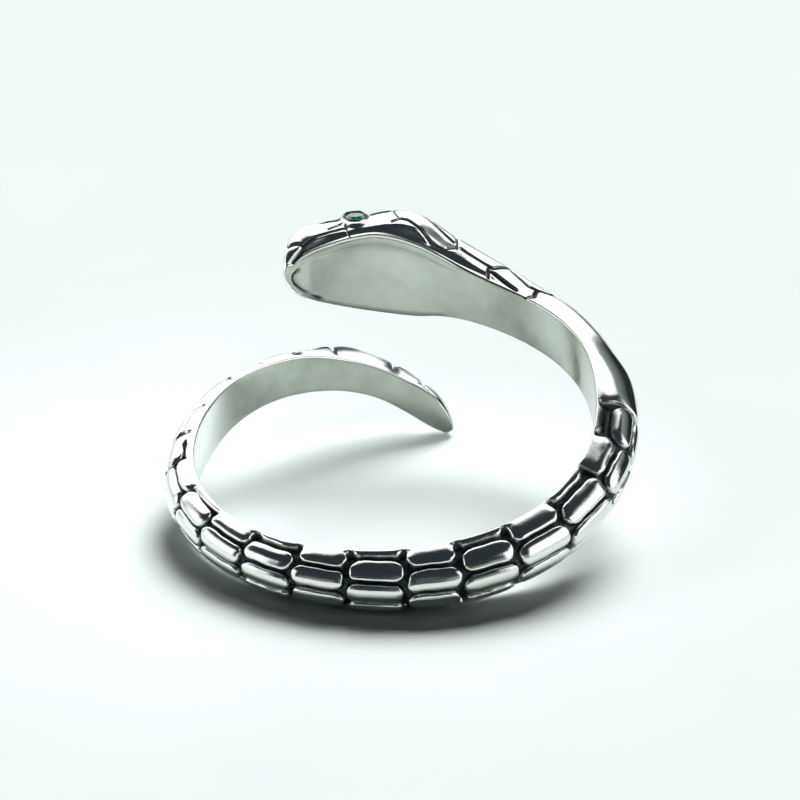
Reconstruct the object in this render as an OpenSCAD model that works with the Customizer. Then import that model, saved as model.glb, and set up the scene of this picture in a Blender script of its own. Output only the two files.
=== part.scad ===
// A finger ring in the form of a snake that winds once round the finger. The tail
// and the head lie one above the other at the back. The body is a single solid
// casting with raised scales, and each eye is a small cut stone in a socket.
// Millimetres. The ring lies on its side: X to the right, Y to the back, Z up.
// Angles round the finger are counted from the right, seen from above; the tail
// tip is at 74 degrees and the snout is one turn and 50 degrees further on.

/* [Finger opening] */
// Radius of the opening for the finger
bore_radius = 9; // [8:0.25:10.5]
// Lean of the finger axis to the front, with the ring at rest on its side
lean = 7.2; // [6:0.1:8.5]
// Lean of the finger axis to the right, with the ring at rest on its side
side_lean = 1.2; // [0:0.1:2.5]

/* [Body] */
// Width of the body, as a share of the width in the table of sections
body_width = 1; // [0.9:0.01:1.15]
// Thickness of the body, as a share of the thickness in the table of sections
body_thickness = 1; // [0.9:0.01:1.15]

/* [Scales] */
// Depth of the grooves between the scales of the body
groove_depth = 0.26; // [0.1:0.02:0.34]
// Width of the rounded edge of a scale, from the groove to its flat
scale_edge = 0.42; // [0.25:0.01:0.6]
// Radius of the corners of a scale
scale_corner = 0.5; // [0.2:0.05:0.8]

/* [Head] */
// Depth of the seams between the plates of the head and neck
seam_depth = 0.17; // [0.05:0.01:0.25]
// Width of a seam, from its middle to the flat of the plate
seam_width = 0.26; // [0.15:0.01:0.4]
// Depth of the hollow in the face toward the finger, under the head
throat_hollow = 0.14; // [0:0.02:0.3]

/* [Eyes] */
// Radius of an eye stone at its girdle
eye_radius = 0.46; // [0.36:0.02:0.5]
// Gap between a stone and its socket
eye_gap = 0.03; // [0.02:0.01:0.08]

/* [Hidden] */
silver = [0.86, 0.86, 0.84];
green = [0.35, 0.68, 0.48];

// Columns of the table of sections
ANGLE = 0;
RISE = 1;
WIDTH = 2;
THICK = 3;
BOXY = 4;
FLARE = 5;
INSET = 6;

// A row for each section, from the tail tip to the snout: angle round the finger,
// height of its middle, width, thickness, boxiness, overhang of its two edges, and how
// far its inner face stands in from the opening
sections = [
  [73.6, -0.85, 0.30, 0.22, 2.5, 0, 0],
  [75, -0.72, 0.95, 0.50, 2.5, 0, 0],
  [77.5, -0.42, 1.50, 0.80, 2.5, 0, 0],
  [81, -0.05, 1.78, 1.10, 2.5, 0, 0],
  [87, 0.52, 1.75, 1.65, 2.6, 0, 0],
  [95, 1.25, 1.68, 1.88, 2.7, 0, 0],
  [104, 1.80, 1.72, 1.86, 2.7, 0, 0],
  [116, 2.27, 1.95, 1.55, 2.6, 0, 0],
  [130, 2.48, 2.10, 1.32, 2.5, 0, 0],
  [145, 2.42, 2.38, 1.26, 2.5, 0, 0],
  [160, 2.08, 2.72, 1.30, 2.5, 0, 0],
  [180, 1.80, 2.74, 1.40, 2.5, 0, 0],
  [200, 1.84, 2.64, 1.33, 2.5, 0, 0],
  [225, 1.92, 2.62, 1.38, 2.5, 0, 0],
  [255, 2.22, 2.72, 1.54, 2.5, 0, 0],
  [285, 2.52, 2.94, 1.72, 2.5, 0, 0],
  [315, 3.14, 2.86, 1.76, 2.5, 0, 0],
  [340, 3.92, 2.78, 1.87, 2.5, 0, 0.17],
  [365, 4.78, 2.64, 1.92, 2.5, 0, 0.23],
  [373, 5.02, 2.59, 1.90, 2.5, 0, 0.17],
  [383, 5.28, 2.54, 1.73, 2.5, 0, 0.06],
  [390, 5.45, 2.50, 1.76, 2.5, 0, 0.02],
  [400, 5.64, 2.44, 1.88, 2.5, 0, 0],
  [410, 5.78, 2.40, 1.95, 2.6, 0, 0],
  [423, 6.02, 2.45, 2.31, 3.0, 0.10, 0],
  [432, 6.30, 2.74, 2.56, 3.4, 0.20, 0],
  [438, 6.53, 3.12, 2.60, 3.6, 0.38, 0],
  [444, 6.72, 3.63, 2.70, 4.0, 0.66, 0],
  [450, 6.92, 3.90, 2.68, 4.0, 0.56, 0],
  [456, 7.10, 3.97, 2.55, 4.0, 0.26, 0],
  [463, 7.22, 3.63, 2.40, 4.0, 0.20, 0],
  [470, 7.34, 3.02, 2.28, 4.0, 0.38, 0],
  [475, 7.46, 2.48, 2.00, 4.0, 0.52, 0],
  [479, 7.60, 1.80, 1.42, 3.8, 0.46, 0],
  [481.6, 7.72, 1.12, 0.85, 3.6, 0.38, 0],
  [483.4, 7.84, 0.55, 0.40, 3.2, 0.22, 0],
  [484.2, 7.92, 0.20, 0.12, 3.0, 0.08, 0]
];
last_section = len(sections) - 1;

// Angles of the cross grooves of the body, from the tail to the neck
cross_grooves = [
  83, 91.3, 106.3, 119, 130, 142, 157, 170, 182, 197.5, 212,
  228, 243, 257.3, 272, 285.7, 300, 315.5, 332, 346, 359
];
last_groove = len(cross_grooves) - 1;

// Turns round the section, from its upper edge at 0 over the crest at 90 to its
// lower edge at 180, of the long grooves in every first and every second column
// of scales, and a turn off the section for the parts that have none
rows_a = [42, 90, 138];
rows_b = [20, 67, 113, 160];
no_rows = [-360];

// Columns of the table of seams
ANGLE_1 = 0;
TURN_1 = 1;
ANGLE_2 = 2;
TURN_2 = 3;

// A row for each straight seam between plates of the neck and head: angle and turn
// at one end, then at the other; the lower flank has the same seams
seams = [
  // neck, from the body to the head
  [410.2, 0, 409, 12],
  [409, 12, 411.9, 38],
  [408.6, 50, 411.9, 38],
  [411.9, 38, 415.8, 48],
  [415.8, 48, 420.9, 39],
  [420.9, 39, 424, 25],
  [424, 25, 433.7, 23],
  [423.5, 4, 426.2, 20],
  [420.9, 39, 422.6, 47],
  [422.6, 47, 421, 90],
  [408.6, 50, 407, 90],
  // temple
  [434.2, 20, 436.1, 45],
  [436.1, 45, 434, 90],
  [434.7, 20, 436.6, 10],
  [436.6, 10, 440.9, 8],
  [440.9, 8, 443.8, 12],
  [443.8, 12, 447.5, 20],
  [447.5, 20, 450.4, 28],
  [435.6, 26, 439.5, 32],
  [439.5, 32, 445.5, 42],
  [449.6, 20, 451.6, 14],
  [450.4, 28, 452, 52],
  [452, 52, 449, 90],
  [445.5, 42, 450, 58],
  // lips and snout
  [463.4, 0, 463.9, 18],
  [463.9, 18, 463.2, 27],
  [463.2, 27, 468.5, 20],
  [468.5, 20, 473.3, 24],
  [473.3, 24, 476.7, 24],
  [462.9, 35, 469.2, 37],
  [464.1, 16, 470.7, 13],
  [470.7, 13, 477.2, 10],
  [477.2, 8, 480.3, 34],
  [477.2, 8, 481.5, 4],
  // crown
  [436, 90, 449, 90],
  [452, 62, 461, 66],
  [463, 36, 461, 66],
  [461, 66, 463, 90],
  [463, 90, 477, 90],
  [469.2, 37, 471, 90],
  [480.3, 34, 478, 90]
];

// Turns of the lines of points over the scales of the body: steps of a third
// between the long grooves, and a quarter next to the edges
row_ends = [0, 20, 42, 67, 90, 113, 138, 160, 180];
row_steps = [4, 3, 3, 3, 3, 3, 3, 4];
body_turns = concat(
  [for (i = [0 : len(row_steps) - 1])
    for (j = [0 : row_steps[i] - 1])
      row_ends[i] + (row_ends[i + 1] - row_ends[i]) * j / row_steps[i]],
  [180]
);
last_turn = len(body_turns) - 1;

// Turns of the same lines over the head, close together on its two flanks
flank_steps = 9;
flank_end = 46;
crown_steps = last_turn - 2 * flank_steps;
head_turns = [for (i = [0 : last_turn])
  i <= flank_steps ? flank_end * i / flank_steps
  : i >= last_turn - flank_steps ? 180 - flank_end * (last_turn - i) / flank_steps
  : flank_end + (180 - 2 * flank_end) * (i - flank_steps) / crown_steps];

// The lines of points pass from one spacing to the other along the neck
neck_start = 372;
neck_end = 404;

// The hollow under the head leaves a rim on both sides, at most a share of half the width
rim_width = 0.36;
rim_share = 0.4;
throat_start = 437;
throat_end = 481;
throat_ease = 5;

// Turns from the edge of the band over which a groove comes to its full depth
edge_turns = 8;

// Angle where the scales end and the plates of the neck begin
seams_start = 404;

// A groove goes no deeper than this share of the thickness of the section
deepest_share = 0.22;

// Turns from the edge of the band over which the overhang of the edge dies out
flare_turns = 75;

// Lengths on the skin: the share of half width and thickness together that the quarter
// turn measures, and the share of the thickness at which lengths along the band count
quarter_share = 0.87;
crest_share = 0.6;

// Place of the eyes on the head: their angle and turn, and how far the girdle of a
// stone stands over the skin; the socket goes down from the girdle
eye_angle = 460.3;
eye_turn = 34;
eye_stand = 0;
socket_radius = eye_radius + eye_gap;
socket_depth = 0.48;

// The eyelid round a socket: a low cone that grows out of the head
lid_wall = 0.09;
lid_spread = 0.2;
lid_depth = 0.6;
round_steps = 48;

// Angles of the sections that carry points
tail_rings = [73.6, 74.2, 75, 76.2, 77.5, 79.2, 80.8, 82];
column_shares = [0, 0.12, 0.37, 0.63, 0.88];
body_rings = [for (i = [0 : last_groove - 1])
  for (share = column_shares)
    cross_grooves[i] + (cross_grooves[i + 1] - cross_grooves[i]) * share];
neck_rings = [359, 360.6, 362.2, 366, 371, 377, 383, 389, 395, 401];
head_rings = [for (a = [407 : 1 : 480]) a];
snout_rings = [481, 481.6, 482.5, 483.4, 484.2];
rings = concat(tail_rings, body_rings, neck_rings, head_rings, snout_rings);
last_ring = len(rings) - 1;
inner_points = 3;
ring_size = last_turn + 1 + inner_points;

function smooth(x) =
  let (t = min(max(x, 0), 1))
  t * t * (3 - 2 * t);

function span(i) = sections[i + 1][ANGLE] - sections[i][ANGLE];
function rate(i, column) = (sections[i + 1][column] - sections[i][column]) / span(i);
function slope(i, column) =
  i == 0 ? rate(0, column)
  : i == last_section ? rate(last_section - 1, column)
  : (rate(i - 1, column) * span(i) + rate(i, column) * span(i - 1))
    / (span(i - 1) + span(i));

function row_before(angle) =
  min(last_section - 1, max([for (i = [0 : last_section]) if (sections[i][ANGLE] <= angle) i]));

// A smooth curve through the values of one column of the table
function at(angle, column) =
  let (
    i = row_before(angle),
    t = (angle - sections[i][ANGLE]) / span(i),
    t2 = t * t,
    t3 = t2 * t
  )
  (2 * t3 - 3 * t2 + 1) * sections[i][column]
  + (t3 - 2 * t2 + t) * span(i) * slope(i, column)
  + (3 * t2 - 2 * t3) * sections[i + 1][column]
  + (t3 - t2) * span(i) * slope(i + 1, column);

function section(angle) = [
  angle,
  at(angle, RISE),
  body_width * at(angle, WIDTH),
  body_thickness * at(angle, THICK),
  at(angle, BOXY),
  at(angle, FLARE),
  at(angle, INSET)
];

// Place of a point of the section: distance out from the bore, and height over the middle
function reach(s, turn) = pow(pow(sin(turn), s[BOXY]) + pow(abs(cos(turn)), s[BOXY]), -1 / s[BOXY]);
function overhang(s, turn) =
  let (e = min(turn, 180 - turn))
  e < flare_turns ? s[FLARE] * sin(e * 180 / flare_turns) * sign(90 - turn) : 0;
function outline(s, turn) = [
  s[THICK] * reach(s, turn) * sin(turn),
  s[WIDTH] / 2 * reach(s, turn) * cos(turn) + overhang(s, turn)
];
function outward(s, turn) =
  let (
    x = pow(reach(s, turn) * sin(turn), s[BOXY] - 1) / s[THICK],
    y = pow(reach(s, turn) * abs(cos(turn)), s[BOXY] - 1) / (s[WIDTH] / 2) * sign(90 - turn)
  )
  [x, y] / norm([x, y]);

function millimetres_per_turn(s) = quarter_share * (s[WIDTH] / 2 + s[THICK]) / 90;
function millimetres_per_angle(s) = (bore_radius + crest_share * s[THICK]) * PI / 180;

// Number of cross grooves at or before an angle; odd and even columns have other rows,
// and the smooth tip and neck have none
function column_at(angle) = len([for (g = cross_grooves) if (g <= angle) g]);
function rows_at(column) =
  column == 0 || column > last_groove ? no_rows
  : column % 2 == 1 ? rows_a
  : rows_b;

// Depth of the groove round a scale of the body
function scale_groove(s, turn) =
  let (
    along = min([for (g = cross_grooves) abs(s[ANGLE] - g)]) * millimetres_per_angle(s),
    across = min([for (r = rows_at(column_at(s[ANGLE]))) abs(turn - r)]) * millimetres_per_turn(s),
    inset = norm([max(scale_corner - along, 0), max(scale_corner - across, 0)]),
    d = max(scale_corner - inset, 0),
    share = 1 - min(d / scale_edge, 1)
  )
  groove_depth * share * share * smooth(min(turn, 180 - turn) / edge_turns);

// Depth of the seams of the neck and head
function to_seam(seam, point, scale) =
  let (
    a = [seam[ANGLE_1] * scale[0], seam[TURN_1] * scale[1]],
    b = [seam[ANGLE_2] * scale[0], seam[TURN_2] * scale[1]],
    t = min(max((point - a) * (b - a) / ((b - a) * (b - a)), 0), 1)
  )
  norm(point - a - t * (b - a));
function seam_groove(s, turn) =
  let (
    scale = [millimetres_per_angle(s), millimetres_per_turn(s)],
    point = [s[ANGLE] * scale[0], min(turn, 180 - turn) * scale[1]],
    d = min([for (seam = seams) to_seam(seam, point, scale)])
  )
  seam_depth * (1 - smooth(d / seam_width));

function groove(s, turn) =
  min(
    deepest_share * s[THICK],
    s[ANGLE] < seams_start ? scale_groove(s, turn) : seam_groove(s, turn)
  );

function on_skin(s, turn) = outline(s, turn) - groove(s, turn) * outward(s, turn);

// Points of the section on the side of the finger, from its lower to its upper edge
function inner_side(s) =
  let (
    half = s[WIDTH] / 2,
    rim = min(rim_width, rim_share * half),
    start = smooth((s[ANGLE] - throat_start) / throat_ease),
    end = smooth((throat_end - s[ANGLE]) / throat_ease),
    hollow = throat_hollow * start * end
  )
  [[hollow, rim - half], [hollow, 0], [hollow, half - rim]];

// A point of a section, given out from the bore and over the middle, in the room
function in_room(s, p) = [
  (bore_radius - s[INSET] + p[0]) * cos(s[ANGLE]),
  (bore_radius - s[INSET] + p[0]) * sin(s[ANGLE]),
  s[RISE] + p[1]
];
function turn_line(angle, i) =
  let (t = smooth((angle - neck_start) / (neck_end - neck_start)))
  body_turns[i] + (head_turns[i] - body_turns[i]) * t;
function ring_points(angle) =
  let (s = section(angle))
  concat(
    [for (i = [0 : last_turn]) in_room(s, on_skin(s, turn_line(angle, i)))],
    [for (p = inner_side(s)) in_room(s, p)]
  );

skin = [for (angle = rings) for (p = ring_points(angle)) p];

// The ring lies down: it leans, its lowest point is at height 0, and it is centred
to_front = [
  [1, 0, 0],
  [0, cos(lean), -sin(lean)],
  [0, sin(lean), cos(lean)]
];
to_right = [
  [cos(side_lean), 0, sin(side_lean)],
  [0, 1, 0],
  [-sin(side_lean), 0, cos(side_lean)]
];
leaned_skin = [for (p = skin) to_right * to_front * p];
low = [for (k = [0 : 2]) min([for (p = leaned_skin) p[k]])];
high = [for (k = [0 : 2]) max([for (p = leaned_skin) p[k]])];
set_down = [-(low[0] + high[0]) / 2, -(low[1] + high[1]) / 2, -low[2]];

function middle(list) = [for (k = [0 : 2]) ([for (p = list) p[k]] * [for (p = list) 1]) / len(list)];
tail_pole = middle([for (i = [0 : ring_size - 1]) skin[i]]);
snout_pole = middle([for (i = [0 : ring_size - 1]) skin[last_ring * ring_size + i]]);

function next(i) = (i + 1) % ring_size;
side_faces = [for (r = [0 : last_ring - 1])
  for (i = [0 : ring_size - 1])
    for (face = [
      [r * ring_size + i, (r + 1) * ring_size + i, (r + 1) * ring_size + next(i)],
      [r * ring_size + i, (r + 1) * ring_size + next(i), r * ring_size + next(i)]
    ]) face];
tail_faces = [for (i = [0 : ring_size - 1]) [len(skin), i, next(i)]];
snout_faces = [for (i = [0 : ring_size - 1])
  [len(skin) + 1, last_ring * ring_size + next(i), last_ring * ring_size + i]];

module casting() {
  polyhedron(
    points = concat(skin, [tail_pole, snout_pole]),
    faces = concat(side_faces, tail_faces, snout_faces),
    convexity = 10
  );
}

// Stands a piece with its axis along Z on the head, at the eye
module at_eye(turn) {
  s = section(eye_angle);
  out = outward(s, turn);
  translate(in_room(s, outline(s, turn) + eye_stand * out))
    rotate([0, 0, eye_angle])
      rotate([0, atan2(out[0], out[1]), 0])
        children();
}

module lying() {
  translate(set_down)
    rotate([lean, side_lean, 0])
      children();
}

module eyelid() {
  top = socket_radius + lid_wall;
  translate([0, 0, -lid_depth])
    cylinder(h = lid_depth, r1 = top + lid_spread, r2 = top, $fn = round_steps);
}

module snake_body() {
  color(silver)
    lying()
      difference() {
        union() {
          casting();
          for (turn = [eye_turn, 180 - eye_turn])
            at_eye(turn)
              eyelid();
        }
        for (turn = [eye_turn, 180 - eye_turn])
          at_eye(turn)
            translate([0, 0, -socket_depth])
              cylinder(h = 2 * socket_depth, r = socket_radius, $fn = round_steps);
      }
}

// The cut of a stone: a row for each level, with its height and its share of the radius
stone_levels = [
  [-0.34, 0.15],
  [-0.06, 1],
  [0.02, 1],
  [0.11, 0.7]
];
stone_sides = 10;
module stone() {
  points = [for (level = stone_levels) for (i = [0 : stone_sides - 1])
    [
      eye_radius * level[1] * cos(360 * i / stone_sides),
      eye_radius * level[1] * sin(360 * i / stone_sides),
      level[0]
    ]];
  top = len(stone_levels) - 1;
  sides = [for (l = [0 : top - 1]) for (i = [0 : stone_sides - 1])
    [
      l * stone_sides + i,
      (l + 1) * stone_sides + i,
      (l + 1) * stone_sides + (i + 1) % stone_sides,
      l * stone_sides + (i + 1) % stone_sides
    ]];
  table = [for (i = [0 : stone_sides - 1]) top * stone_sides + stone_sides - 1 - i];
  base = [for (i = [0 : stone_sides - 1]) i];
  polyhedron(points = points, faces = concat(sides, [table, base]));
}

module eye_left() {
  color(green)
    lying()
      at_eye(eye_turn)
        stone();
}

module eye_right() {
  color(green)
    lying()
      at_eye(180 - eye_turn)
        stone();
}

snake_body();
eye_left();
eye_right();
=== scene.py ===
import math

import bpy
import numpy as np
from mathutils import Matrix, Vector


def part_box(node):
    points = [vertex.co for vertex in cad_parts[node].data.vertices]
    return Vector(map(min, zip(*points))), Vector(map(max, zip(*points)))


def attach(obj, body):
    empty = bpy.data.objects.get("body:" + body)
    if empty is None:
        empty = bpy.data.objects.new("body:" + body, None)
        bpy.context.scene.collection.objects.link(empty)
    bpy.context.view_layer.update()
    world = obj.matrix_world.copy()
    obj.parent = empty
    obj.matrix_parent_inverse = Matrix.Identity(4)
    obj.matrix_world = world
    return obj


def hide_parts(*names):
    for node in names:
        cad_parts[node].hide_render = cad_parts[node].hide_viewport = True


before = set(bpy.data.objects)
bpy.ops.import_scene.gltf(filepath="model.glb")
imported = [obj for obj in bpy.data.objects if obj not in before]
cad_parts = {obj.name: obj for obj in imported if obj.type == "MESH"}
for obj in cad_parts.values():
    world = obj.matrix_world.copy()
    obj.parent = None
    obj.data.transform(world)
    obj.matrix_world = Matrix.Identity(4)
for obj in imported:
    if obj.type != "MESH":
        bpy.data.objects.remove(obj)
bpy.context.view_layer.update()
print("frame loaded")

mm = 0.001
turn = math.pi / 180


# sRGB hex to the linear colour that the shaders read
def fromHex(code):
    values = [int(code[i:i + 2], 16) / 255 for i in (1, 3, 5)]
    return [v / 12.92 if v <= 0.04045 else ((v + 0.055) / 1.055) ** 2.4 for v in values] + [1]


# adds a node: settings are its own properties or its inputs, links are sockets to plug in
def addNode(tree, kind, settings=None, links=None):
    node = tree.nodes.new(kind)
    for name, value in (settings or {}).items():
        if isinstance(name, int) or name in node.inputs:
            node.inputs[name].default_value = value
        else:
            setattr(node, name, value)
    for name, socket in (links or {}).items():
        tree.links.new(socket, node.inputs[name])
    return node


def newMaterial(name):
    material = bpy.data.materials.new(name)
    material.use_nodes = True
    material.node_tree.nodes.clear()
    return material, material.node_tree


# colour stops for a ramp node, as (place, hex)
def setStops(ramp, stops):
    ramp.color_ramp.elements.remove(ramp.color_ramp.elements[1])
    for i, (place, code) in enumerate(stops):
        stop = ramp.color_ramp.elements[0] if i == 0 else ramp.color_ramp.elements.new(place)
        stop.position = place
        stop.color = fromHex(code)


# the casting: a band swept round the finger, tail tip first (mm and degrees)
casting = {
    "fingerRadius": 9,
    "leanFront": 7.2,
    "leanRight": 1.2,
    # the overhang is that of the edges, up and down, and the inset that of the inner face
    "columns": ("angle", "rise", "width", "thickness", "boxiness", "overhang", "inset"),
    "sections": [
        (73.6, -0.85, 0.30, 0.22, 2.5, 0, 0),
        (75, -0.72, 0.95, 0.50, 2.5, 0, 0),
        (77.5, -0.42, 1.50, 0.80, 2.5, 0, 0),
        (81, -0.05, 1.78, 1.10, 2.5, 0, 0),
        (87, 0.52, 1.75, 1.65, 2.6, 0, 0),
        (95, 1.25, 1.68, 1.88, 2.7, 0, 0),
        (104, 1.80, 1.72, 1.86, 2.7, 0, 0),
        (116, 2.27, 1.95, 1.55, 2.6, 0, 0),
        (130, 2.48, 2.10, 1.32, 2.5, 0, 0),
        (145, 2.42, 2.38, 1.26, 2.5, 0, 0),
        (160, 2.08, 2.72, 1.30, 2.5, 0, 0),
        (180, 1.80, 2.74, 1.40, 2.5, 0, 0),
        (200, 1.84, 2.64, 1.33, 2.5, 0, 0),
        (225, 1.92, 2.62, 1.38, 2.5, 0, 0),
        (255, 2.22, 2.72, 1.54, 2.5, 0, 0),
        (285, 2.52, 2.94, 1.72, 2.5, 0, 0),
        (315, 3.14, 2.86, 1.76, 2.5, 0, 0),
        (340, 3.92, 2.78, 1.87, 2.5, 0, 0.17),
        (365, 4.78, 2.64, 1.92, 2.5, 0, 0.23),
        (373, 5.02, 2.59, 1.90, 2.5, 0, 0.17),
        (383, 5.28, 2.54, 1.73, 2.5, 0, 0.06),
        (390, 5.45, 2.50, 1.76, 2.5, 0, 0.02),
        (400, 5.64, 2.44, 1.88, 2.5, 0, 0),
        (410, 5.78, 2.40, 1.95, 2.6, 0, 0),
        (423, 6.02, 2.45, 2.31, 3.0, 0.10, 0),
        (432, 6.30, 2.74, 2.56, 3.4, 0.20, 0),
        (438, 6.53, 3.12, 2.60, 3.6, 0.38, 0),
        (444, 6.72, 3.63, 2.70, 4.0, 0.66, 0),
        (450, 6.92, 3.90, 2.68, 4.0, 0.56, 0),
        (456, 7.10, 3.97, 2.55, 4.0, 0.26, 0),
        (463, 7.22, 3.63, 2.40, 4.0, 0.20, 0),
        (470, 7.34, 3.02, 2.28, 4.0, 0.38, 0),
        (475, 7.46, 2.48, 2.00, 4.0, 0.52, 0),
        (479, 7.60, 1.80, 1.42, 3.8, 0.46, 0),
        (481.6, 7.72, 1.12, 0.85, 3.6, 0.38, 0),
        (483.4, 7.84, 0.55, 0.40, 3.2, 0.22, 0),
        (484.2, 7.92, 0.20, 0.12, 3.0, 0.08, 0),
    ],
    "flareTurns": 75,         # the overhang reaches this many turns in from each edge
    # on the upper side of the head it rises beside a narrow flat rim, in a short bevel
    # between these turns, by this much of its height, and the rest in a low arch
    "bevelTurns": (4, 12),
    "bevelShare": 0.68,
    "bevelFade": 40,          # turns at the end of the reach over which the bevel fades out
    "bevelAngles": (400, 430),
    "softer": 0.4,            # the band's back is rounder than the plain solid's
    "softerOver": (110, 130, 390, 410),
    "girth": 0.87,            # from edge to crest round a section, over half its width + thickness
    # the swept sections: how far they lie from a cross groove, the step between them on the
    # rest of a scale and the fewest there, how many there are on the tip of the tail, and
    # those of the neck, head and snout as first angle, last angle and count
    "nearGroove": (0, 0.25, 0.5, 0.75, 1.0, 1.3, 1.65, 2.1, 2.7),
    "scaleStep": 1.1,
    "fewestOnScale": 4,
    "tipSections": 18,
    "headSections": [(363, 404, 28), (404.4, 479.6, 235), (479.8, 484.2, 22)],
    "linesRound": 97,         # points from the upper edge over the crest to the lower edge
    # each flank of the head has this share of those points in this share of the turns
    "flankLines": 0.37,
    "flankTurns": 0.27,
    "flankAngles": (372, 404),
    "linesInside": 17,        # points across the face toward the finger
    # the edge toward the finger is rubbed round: how far out it starts and how far along
    # the inner face it ends, the same under the head, and the most that these may be as
    # shares of the thickness and the width
    "edge": (0.09, 0.12),
    "edgeHead": (0.06, 0.26),
    "edgeMost": (0.25, 0.16),
    "edgeLines": 6,
    "headOver": (428, 438, 477, 483),  # the stretch that has the edge and the rim of the head
    "rimRaise": 0.05,         # the fine raised rim along the head, and its width in turns
    "rimTurns": 6,
    "satinLines": 2,          # lines of the rubbed edge that the inner finish runs on to
    "reliefMost": (0.2, 0.1),  # the most a groove and a pillow drop, as shares of the thickness
    "depthByWidth": 0.6,      # how much of a groove's depth goes with its width
    "throatHollow": 0.1,      # depth of the hollow under the head
    "throatOver": (437, 451, 475, 481),
    "throatEdge": 0.16,       # share of the inner face where it runs out at the upper edge
    # the crease cut under the lip: angle, height over the middle of the band (mm)
    "crease": [(479.3, 0.32), (480.1, 0.26), (481.3, 0.06), (481.6, -0.15), (481.0, -0.39),
               (479.5, -0.60), (477.4, -0.84), (474.4, -1.09), (471.1, -1.33), (467.9, -1.49)],
    "creaseDepth": 0.07,
    "creaseWidth": 0.09,
    "creaseBlack": 1.6,       # blackness of its middle, which falls by 1 in this share of its width
    "creaseFade": 0.5,
    "rimShade": 0.4,             # painted shade: a soft dark line painted on the inner face under the rim of the head
    "rimShadePlace": (0.14, 0.07),  # how far under the rim its middle is, and half its width
    "lipShade": 0.6,          # painted shade: a dark line painted along the edge of the lower lip
}

# blackness of clean silver and of full black, for oxide and painted shade; its ragged edge is drawn between 0
# and 1
clean = -2.0
fullBlack = 2.0

scales = {
    # angles of the grooves across the band, and turns of those along its odd and even columns
    "crossGrooves": [83, 91.3, 106.3, 119, 130, 142, 157, 170, 182, 197.5, 212,
                     228, 243, 257.3, 272, 285.7, 300, 315.5, 332, 346, 359],
    "rowsOdd": [42, 90, 138],
    "rowsEven": [67, 113],
    # angle, and the turns between which the groove beside the rim lies there
    "rimGroove": [(170, -20, -20), (176, 21, 20), (198, 17, 16), (214, 14, 12), (232, 20, 16), (318, 20, 16)],
    "cornerTurns": 21,        # the corners of a scale are rounded over this many turns
    "depth": 0.25,
    "floor": 0.045,           # half width of the flat floor of a groove
    "wall": 0.10,             # width of its steep wall
    "black": (0.075, 0.135),  # the oxide is full up to the first distance, gone at the second
    "crossNarrow": 1.15,      # the grooves across the band are narrower by this
    "narrow": 0.6,            # grooves are this much of that width at the back of the band
    "narrowAngles": (190, 235),
    # turns from the edge at which the grooves run out, at the front and at the back, where
    # that changes, and the turns over which their depth and their oxide begin there
    "runOutTurns": (3, 16),
    "runOutAngles": (235, 195),
    "fadeTurns": 5,
    "blackTurns": 1.5,
    "pillow": 0.11,           # how far a scale drops toward its edge
    "pillowReach": 0.62,      # and how far from its edge that begins
    "pillowTurns": 9,         # turns over which that drop begins at the edge of the band
    "wobble": 0.22,           # the grooves are cut by hand, so they stray a little
    # the waves of that, along the band and across it: size, rate by angle, rate by turn, start
    "strayAlong": [(1, 0.37, 0.09, 0), (0.5, -1, 0.21, 0)],
    "strayAcross": [(5, 0.41, 0, 1), (3, 1.13, 0.04, 0)],
    "lumpSteep": 1.6,         # how steeply a lump rises from the edge of its patch
    # dark patches, partly oxide left unpolished and partly painted dark reflection and shade;
    # two of them stand up: a lump on the tail and a brow over each eye.
    # Angle, turn, half length, half width, strength, height (mm)
    "oxideAndShadeSpots": [
        (105, 44, 8, 20, 2.6, 0.1), (91.2, 24, 2.6, 30, 2.2, 0), (118.4, 20, 2.0, 12, 2.0, 0),
        (352, 16, 8, 17, 2.4, 0), (341, 21, 3, 8, 1.0, 0),
        (79, 42, 5.5, 13, 2.2, 0), (87.2, 46, 4.2, 8, 2.0, 0), (98, 50, 6, 9, 1.8, 0),
        (460.4, 47, 4.0, 9, 2.6, 0.13), (452.6, 38, 5.6, 3.6, 2.4, 0), (466.2, 38.5, 3.8, 2.6, 2.4, 0),
    ],
}

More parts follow.
